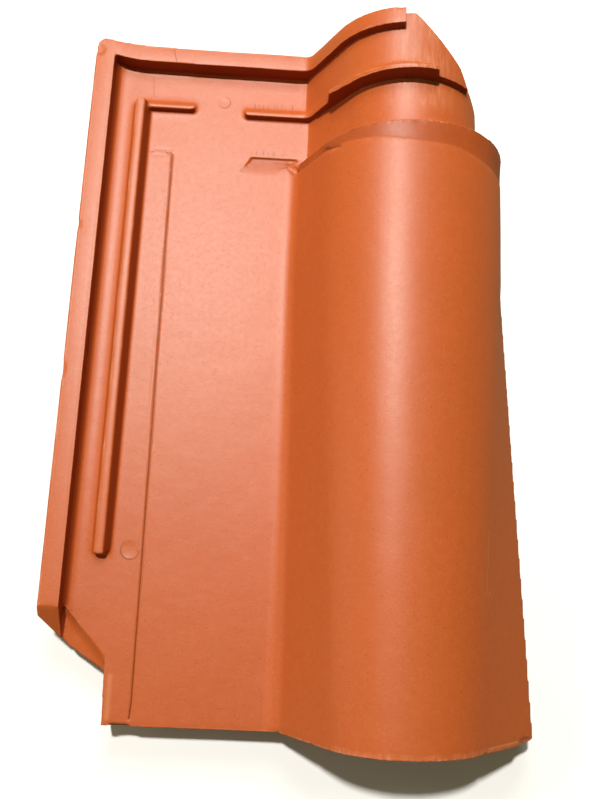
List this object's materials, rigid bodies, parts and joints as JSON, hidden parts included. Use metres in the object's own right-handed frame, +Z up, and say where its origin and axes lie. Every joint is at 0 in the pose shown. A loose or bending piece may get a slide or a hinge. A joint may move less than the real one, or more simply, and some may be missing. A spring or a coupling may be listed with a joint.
{
  "type": "roof tile",
  "caption": "Interlocking S-profile clay roof tile: flat pan with side lip and rib, arched barrel with stepped neck, bars across the head, and hanging nibs beneath",
  "frame": {"origin": "Centre of the tile's box at its lowest level, under the hanging nibs, so the tile stands on Z = 0 as it lies face up on a level floor.", "axes": "+Y runs along the tile from its front (lower) edge to its head, +X runs across it from the lip to the free edge of the barrel, and +Z is up through the face that takes the weather."},
  "size_m": [0.2904, 0.4336, 0.0916],
  "materials": {
    "fired_clay": "unglazed fired terracotta, smooth from the mould with fine pitting and a soft satin sheen"
  },
  "bodies": {
    "root": {"roof_tile": "fired_clay"}
  },
  "joints": []
}
